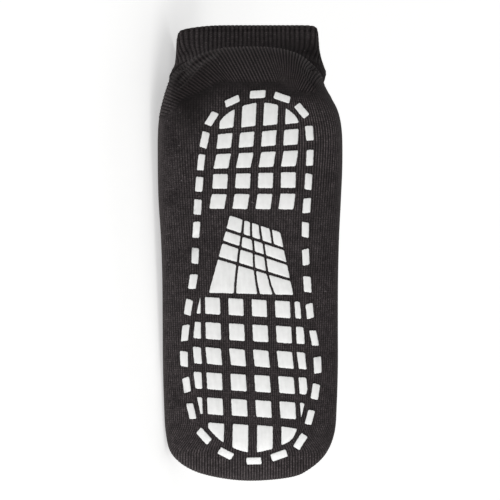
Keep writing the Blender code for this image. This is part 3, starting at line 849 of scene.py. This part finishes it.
def makeHeel():
    rings = []
    for start, end, count in heel["rings"]:
        rings += [(start + (end - start) * i / count, 0.0, False) for i in range(count)]
    rings.append((heel["end"], 0.0, False))
    rings += innerRings(heel["end"], foot["end"], heel["insideRings"])
    angles = spacedAngles(heel["spacedAt"], heel["around"], heel["soleWeight"])
    skin("knitHeel", rings + [rings[0]], angles, heelRelief)


def makeCuff():
    step, wall, turnStart = cuff["step"], -sock["knitWall"], cuff["turnStart"]
    rings = []
    for i in range(cuff["rings"] + 1):
        place = cuffPlace + (turnStart - cuffPlace) * i / cuff["rings"]
        rings.append((place, step * smooth(cuffPlace, cuffPlace + cuff["stepEnd"], place), False))
    # the edge turns over from the outer face to the inner one
    middle, half = (step + wall) / 2, (step - wall) / 2
    for i in range(1, cuff["turnRings"]):
        turned = math.pi * i / cuff["turnRings"]
        place = turnStart + cuff["turnReach"] * math.sin(turned)
        rings.append((place, middle + half * math.cos(turned), False))
    rings += innerRings(turnStart, cuffPlace, cuff["insideRings"])
    angles = spacedAngles(cuff["spacedAt"], cuff["ribs"] * cuff["samples"], 1.0)
    skin("knitCuff", rings + [rings[0]], angles, cuffRelief)


makeFoot()
makeHeel()
makeCuff()
print("knit made")


# silicone grips, printed on a flat sheet and then laid on the sole
grips = {
    "height": 0.0011, "clearance": 0.0003, "sink": 0.0004,
    "dashLength": 0.0082, "dashWidth": 0.0038, "dashSpace": 0.0025,
    "dashLean": 0.21, "dashLonger": 0.05, "dashWider": 0.06,
    "cornerRadius": 0.0007, "cornerShare": 0.45, "cornerSteps": 4,
    "shortest": 0.0009, "sliver": 0.0013, "sliverInset": 0.6,
    "sideStep": 0.00055, "ragged": 0.00018, "raggedScale": 900,
    "archGroove": 0.0012, "archTrim": 0.0003,
}
# each rim ring of a grip: how far in from the ring before it and how much higher, in metres
gripRims = ((0.00005, 0.00012), (0.00012, 0.00012), (0.00022, 0.00007))

# the ring of dashes, as (x, z) shares of foot length and ball width
border = (
    (0.111, 0.044), (0.122, 0.205), (0.159, 0.312), (0.217, 0.340), (0.304, 0.333), (0.422, 0.315),
    (0.522, 0.322), (0.617, 0.342), (0.722, 0.382), (0.794, 0.371), (0.883, 0.316), (0.928, 0.234),
    (0.953, 0.022), (0.933, -0.153), (0.885, -0.284), (0.839, -0.333), (0.722, -0.374), (0.617, -0.355),
    (0.522, -0.318), (0.422, -0.305), (0.304, -0.286), (0.226, -0.263), (0.167, -0.218), (0.130, -0.118),
)
# first and last border point of each run and how many dashes it holds
dashRuns = ((0, 5, 7), (5, 9, 6), (9, 12, 4), (12, 15, 3), (15, 19, 7), (19, 22, 5), (22, 24, 2))
heelGrid = {
    "node": "grip_heel", "corners": ((0.218, -0.145), (0.209, 0.233), (0.357, -0.182), (0.357, 0.210)),
    "rows": 4, "columns": 4, "gapAlong": 0.0029, "gapAcross": 0.0041,
    "endRow": -1, "endLength": 0.0133, "sideWidth": 0.0, "sideGap": 0.0,
    "leans": {-1: 0.03, 0: 0.0, 1: -0.10, 2: 0.04, 3: -0.07},
    "tilts": {-1: -0.05, 0: -0.03, 1: 0.0, 2: 0.02, 3: 0.02},
}
forefootGrid = {
    "node": "grip_forefoot", "corners": ((0.597, -0.212), (0.605, 0.186), (0.828, -0.198), (0.837, 0.215)),
    "rows": 5, "columns": 4, "gapAlong": 0.0044, "gapAcross": 0.0044,
    "endRow": 5, "endLength": 0.0143, "sideWidth": 0.0041, "sideGap": 0.0025,
    "leans": {0: 0.0, 1: 0.0, 2: 0.07, 3: 0.03, 4: 0.02, 5: -0.05},
    "tilts": {0: 0.02, 1: 0.02, 2: 0.05, 3: 0.02, 4: 0.02, 5: 0.03},
}
# Arch rows: x of the heel edge and of the toe edge, each at the outer and the inner end, and the shares
# of the width where the grooves cross the heel edge, the middle and the toe edge.
archRows = (
    (0.389, 0.428, 0.420, 0.464,
     (0.270, 0.420, 0.590, 0.810), (0.274, 0.424, 0.602, 0.812), (0.278, 0.436, 0.616, 0.814)),
    (0.424, 0.468, 0.448, 0.498, (0.272, 0.467, 0.648), (0.272, 0.476, 0.655), (0.271, 0.485, 0.660)),
    (0.452, 0.502, 0.485, 0.535, (0.265, 0.483, 0.663), (0.266, 0.491, 0.671), (0.269, 0.500, 0.680)),
    (0.489, 0.539, 0.567, 0.572, (0.267, 0.509, 0.687), (0.285, 0.548, 0.725), (0.308, 0.588, 0.771)),
)
# z of the whole patch's outer and inner corners
archHeelEdges = (-0.114, 0.152)
archToeEdges = (-0.237, 0.247)


def underFoot(place, z):
    # the point under the foot at a place and a distance z, and its angle round the section
    soleX, soleY, topX, topY, outer, inner, widest, solePower, _ = sectionAt(place)
    half = np.maximum(np.where(z > 0, inner, outer), 1e-6)
    ratio = np.minimum(np.abs(z) / half, 0.999)
    rise = (1 - ratio ** solePower) ** (1 / solePower)
    height = widest * (1 - rise)
    angle = np.arctan2(-rise, ratio * np.sign(z))
    return np.stack([soleX + (topX - soleX) * height, soleY + (topY - soleY) * height, z], axis=-1), angle


def solePoint(x, z):
    # the same for a distance x, whose place is found by halving the foot again and again
    nearToe, nearHeel = np.zeros(x.shape), np.full(x.shape, float(heelBackRow))
    for _ in range(26):
        middle = (nearToe + nearHeel) / 2
        ahead = underFoot(middle, z)[0][..., 0] > x
        nearToe, nearHeel = np.where(ahead, middle, nearToe), np.where(ahead, nearHeel, middle)
    point, angle = underFoot(nearToe, z)
    return point, nearToe, angle


def onSole(x, z, lift):
    step = 0.0005
    along = solePoint(x + step, z)[0] - solePoint(x - step, z)[0]
    across = solePoint(x, z + step)[0] - solePoint(x, z - step)[0]
    normal = unit(np.cross(along, across))
    point, place, angle = solePoint(x, z)
    soft = softForms(measures(place, angle % (2 * math.pi), point, normal))
    return laid(point + soft + lift[..., None] * normal, 0.0)


def onPlan(x, z):
    # from shares of foot length and ball width to metres
    return Vector((x * sock["footLength"], z * sock["ballWidth"]))


def closedCurve(start, end, steps):
    # points along the border, from one of its own points to another
    points = []
    for i in range(steps + 1):
        place = start + (end - start) * i / steps
        first = math.floor(place)
        four = [onPlan(*border[(first + k) % len(border)]) for k in (-1, 0, 1, 2)]
        points.append(between(*four, place - first))
    return points


def dashPlaces():
    places = []
    for first, last, dashes in dashRuns:
        line = closedCurve(first, last, 40 * dashes)
        lengths = [0.0]
        for a, b in zip(line, line[1:]):
            lengths.append(lengths[-1] + (b - a).length)
        for i in range(dashes):
            at = next(k for k, length in enumerate(lengths) if length >= lengths[-1] * i / dashes)
            ahead, behind = line[min(at + 1, len(line) - 1)], line[max(at - 1, 0)]
            places.append((line[at], (ahead - behind).normalized()))
    return places


def borderLimits():
    # limits that keep the grids clear of the ring: a point and the way in from it
    line = closedCurve(0, len(border), 6 * len(border))
    inset = grips["dashWidth"] / 2 + grips["dashSpace"]
    limits = []
    for before, point, after in zip(line[-2:] + line, line, line[1:]):
        tangent = (after - before).normalized()
        inward = Vector((tangent.y, -tangent.x))
        limits.append((point + inset * inward, inward))
    return limits


def clipped(outline, limits):
    # what of a grip lies inside the limits near it
    centre = sum(outline, Vector((0, 0))) / len(outline)
    for point, inward in limits:
        if (point - centre).length > 1.6 * grips["dashLength"] or not outline:
            continue
        kept = []
        for a, b in zip(outline, outline[1:] + outline[:1]):
            depthA, depthB = (a - point).dot(inward), (b - point).dot(inward)
            if depthA >= 0:
                kept.append(a)
            if depthA * depthB < 0:
                kept.append(a + (b - a) * depthA / (depthA - depthB))
        outline = kept
    return outline


def spread(outline):
    # corners that lie very close together become one
    kept = []
    for point in outline:
        if not kept or (point - kept[-1]).length > grips["shortest"]:
            kept.append(point)
    if len(kept) > 1 and (kept[0] - kept[-1]).length <= grips["shortest"]:
        kept.pop()
    return kept


def roundedSheet(own, outline):
    # a flat face with rounded corners, whose sides are cut short
    face = own.faces.new([own.verts.new((point.x, point.y, 0)) for point in outline])
    corners = []
    for corner in face.loops:
        before = corner.vert.co - corner.link_loop_prev.vert.co
        after = corner.link_loop_next.vert.co - corner.vert.co
        if before.normalized().dot(after.normalized()) < 0.9:
            room = grips["cornerShare"] * min(before.length, after.length)
            corners.append((corner.vert, min(grips["cornerRadius"], room)))
    for vert, radius in corners:
        bmesh.ops.bevel(
            own, geom=[vert], affect="VERTICES", offset=radius, offset_type="OFFSET",
            segments=grips["cornerSteps"], profile=0.5, material=-1, clamp_overlap=False,
        )
    for edge in list(own.edges):
        cuts = int(edge.calc_length() / grips["sideStep"])
        if cuts > 0:
            bmesh.ops.subdivide_edges(own, edges=[edge], cuts=cuts)
    return own.faces[:][0]


def printGrip(bm, outline, low):
    # one grip: its outline is rounded, roughened, raised and rounded over
    own = bmesh.new()
    face = roundedSheet(own, outline)
    middle = face.calc_center_median()
    for vert in own.verts:
        # the wales beneath show at the sides, where the silicone ran along them
        out = (vert.co - middle).normalized()
        wale = math.cos(2 * math.pi * vert.co.y / walePitch)
        spot = vert.co * grips["raggedScale"]
        rough = noise.noise(Vector((spot.x, spot.y, 3.1)))
        vert.co += grips["ragged"] * (0.5 * wale * abs(out.x) + rough) * out
    raised = bmesh.ops.extrude_face_region(own, geom=[face], use_keep_orig=True)["geom"]
    top = [item for item in raised if isinstance(item, bmesh.types.BMFace)][0]
    wall = grips["height"] - sum(rise for _, rise in gripRims)
    bmesh.ops.translate(own, verts=top.verts[:], vec=(0, 0, wall - low))
    halfWidth = 2 * face.calc_area() / face.calc_perimeter()
    toMiddle = Matrix.Translation(-middle)
    for inset, rise in gripRims:
        if halfWidth > grips["sliver"]:
            bmesh.ops.inset_region(own, faces=[top], thickness=inset, depth=rise)
        else:
            # a sliver's rim would cross itself, so it is drawn in towards the middle
            bmesh.ops.inset_region(own, faces=[top], thickness=0, depth=rise)
            share = 1 - grips["sliverInset"] * inset / halfWidth
            bmesh.ops.scale(own, verts=top.verts[:], vec=(share, share, 1), space=toMiddle)
    bmesh.ops.poke(own, faces=[top])
    bmesh.ops.recalc_face_normals(own, faces=own.faces)
    if own.calc_volume(signed=True) < 0:
        bmesh.ops.reverse_faces(own, faces=own.faces)
    bmesh.ops.translate(own, verts=own.verts, vec=(0, 0, low))
    part = meshFrom(own, "part")
    bm.from_mesh(part)
    bpy.data.meshes.remove(part)


def gripPiece(name, outlines, node):
    # prints the outlines and lays them on the sole as one piece, a little sunk into the knit
    bm = bmesh.new()
    for outline in outlines:
        printGrip(bm, outline, grips["clearance"] - grips["sink"])
    mesh = meshFrom(bm, name)
    mesh.vertices.foreach_set("co", onSole(*cornersOf(mesh)).ravel())
    mesh.shade_smooth()
    addPiece(name, mesh, siliconeMaterial, node)


def gridPlace(grid, row, column):
    # the middle of a cell, which may lie past the grid's own rows and columns
    along, across = row / (grid["rows"] - 1), column / (grid["columns"] - 1)
    heelOuter, heelInner, toeOuter, toeInner = [onPlan(*corner) for corner in grid["corners"]]
    return heelOuter.lerp(heelInner, across).lerp(toeOuter.lerp(toeInner, across), along)


def gridCells(grid):
    # each cell's row, its heel and toe end in rows, and its outer and inner side in columns
    pitchAlong = (gridPlace(grid, 1, 0) - gridPlace(grid, 0, 0)).length
    pitchAcross = (gridPlace(grid, 0, 1) - gridPlace(grid, 0, 0)).length
    halfAlong = (1 - grid["gapAlong"] / pitchAlong) / 2
    halfAcross = (1 - grid["gapAcross"] / pitchAcross) / 2
    spans = [(row, row - halfAlong, row + halfAlong) for row in range(grid["rows"])]
    columns = [(column - halfAcross, column + halfAcross) for column in range(grid["columns"])]
    longShare = grid["endLength"] / pitchAlong
    if grid["endRow"] < 0:
        endSpan = (-1, -1 + halfAlong - longShare, -1 + halfAlong)
    else:
        endSpan = (grid["endRow"], grid["endRow"] - halfAlong, grid["endRow"] - halfAlong + longShare)
    cells = [(span, column) for span in spans for column in columns]
    cells += [(endSpan, column) for column in columns]
    if grid["sideWidth"] > 0:
        gap, width = grid["sideGap"] / pitchAcross, grid["sideWidth"] / pitchAcross
        outerSide = (columns[0][0] - gap - width, columns[0][0] - gap)
        innerSide = (columns[-1][1] + gap, columns[-1][1] + gap + width)
        cells += [(span, side) for span in spans for side in (outerSide, innerSide)]
    return cells


def cellOutline(grid, row, low, high, left, right):
    # a cell's corners, leaned and tilted about its middle as the stretched knit was printed
    middle = gridPlace(grid, (low + high) / 2, (left + right) / 2)
    outline = []
    for corner in ((low, left), (high, left), (high, right), (low, right)):
        off = gridPlace(grid, *corner) - middle
        shift = Vector((grid["tilts"][row] * off.y, grid["leans"][row] * off.x))
        outline.append(middle + off + shift)
    return outline


def makeGrid(grid):
    limits = borderLimits()
    number = 0
    for (row, low, high), (left, right) in gridCells(grid):
        outline = spread(clipped(cellOutline(grid, row, low, high, left, right), limits))
        if len(outline) < 3:
            continue
        number += 1
        node = f"{grid['node']}_{number:02d}"
        gripPiece(f"print_{node}", [outline], node)
    print(grid["node"], "grips:", number)


def archLine(outerX, innerX):
    # a line across the arch patch, from its outer side to its inner one
    start, end = archRows[0][0], archRows[-1][3]
    ends = []
    for x, heelEdge, toeEdge in zip((outerX, innerX), archHeelEdges, archToeEdges):
        z = heelEdge + (toeEdge - heelEdge) * (x - start) / (end - start)
        ends.append(onPlan(x, z))
    return ends


def padOutline(near, far, bounds, pad, half):
    # one pad's sides run through the heel edge, the middle and the toe edge of its row
    outer, inner = [], []
    for shares, down in zip(bounds, (0.0, 0.5, 1.0)):
        start, end = near[0].lerp(far[0], down), near[1].lerp(far[1], down)
        outer.append(start.lerp(end, shares[pad] + (half if pad > 0 else 0)))
        inner.append(start.lerp(end, shares[pad + 1] - (half if pad < len(shares) - 2 else 0)))
    return outer + inner[::-1]


def makeArch():
    trim = grips["archTrim"] / sock["footLength"]
    for number, (heelOuter, heelInner, toeOuter, toeInner, *grooves) in enumerate(archRows, 1):
        # rows draw back from each other, but not at the patch's own ends
        heelTrim = trim if number > 1 else 0
        toeTrim = trim if number < len(archRows) else 0
        near = archLine(heelOuter + heelTrim, heelInner + heelTrim)
        far = archLine(toeOuter - toeTrim, toeInner - toeTrim)
        half = grips["archGroove"] / 2 / (near[1] - near[0]).length
        bounds = [[0.0, *shares, 1.0] for shares in grooves]
        outlines = [padOutline(near, far, bounds, pad, half) for pad in range(len(bounds[0]) - 1)]
        gripPiece(f"print_arch_{number}", outlines, f"grip_arch_{number}")


def makeDashes():
    outlines = []
    for number, (centre, tangent) in enumerate(dashPlaces()):
        side = Vector((-tangent.y, tangent.x))
        # each lies a little askew
        lean = grips["dashLean"] * math.sin(2.9 * number + 0.6)
        length = grips["dashLength"] * (1 + grips["dashLonger"] * math.sin(1.7 * number))
        width = grips["dashWidth"] * (1 + grips["dashWider"] * math.sin(4.3 * number + 1))
        outlines.append([
            centre + (a * length / 2) * tangent + (b * width / 2) * (side + lean * tangent)
            for a, b in ((-1, -1), (1, -1), (1, 1), (-1, 1))
        ])
    gripPiece("print_dashes", outlines, "sock_body")


makeGrid(heelGrid)
makeGrid(forefootGrid)
makeArch()
makeDashes()
print("grips made")


studio = {
    "floorSize": 30.0,
    # a white acrylic board, lit a little from below, as on a product table
    "floor": {
        "Base Color": linear("#f2f2f1"), "Roughness": 0.9, "Specular IOR Level": 0.2,
        "Emission Color": linear("#ffffff"), "Emission Strength": 0.50,
    },
    "worldColour": "#ffffff",
    "worldStrength": 0.30,
}
# each lamp's direction from the sock in the sock's own axes, watts, size and distance in metres
lamps = (
    ("key", (0.75, -1.0, 0.0), 29.0, 0.9, 2.2),
    ("top", (0.6, -1.0, 0.8), 14.0, 1.6, 2.4),
    ("back", (0.1, 1.0, 0.7), 14.0, 2.0, 2.6),
)


def makeFloor():
    bm = bmesh.new()
    bmesh.ops.create_grid(bm, x_segments=2, y_segments=2, size=studio["floorSize"] / 2)
    mesh = meshFrom(bm, "floor")
    mesh.materials.append(newMaterial("white acrylic board", studio["floor"])[0])
    newObject("floor", mesh)


def makeLamp(name, direction, watts, size, distance):
    data = bpy.data.lights.new(name, "AREA")
    data.energy = watts
    data.size = size
    lamp = newObject(name, data)
    aim = np.array([0.5 * sock["footLength"], 0.0, 0.0]) @ turn.T - origin
    away = unit(np.array(direction)) @ turn.T
    lamp.location = Vector(aim + distance * away)
    lamp.rotation_euler = Vector(away).to_track_quat("Z", "Y").to_euler()
    lamp.visible_camera = False


def makeStudio():
    makeFloor()
    world = bpy.data.worlds.new("studio")
    world.use_nodes = True
    background = world.node_tree.nodes["Background"]
    background.inputs["Color"].default_value = linear(studio["worldColour"])
    background.inputs["Strength"].default_value = studio["worldStrength"]
    scene = bpy.context.scene
    scene.world = world
    scene.view_settings.view_transform = "Standard"
    scene.view_settings.look = "None"
    for lamp in lamps:
        makeLamp(*lamp)


makeStudio()
print("studio lit")
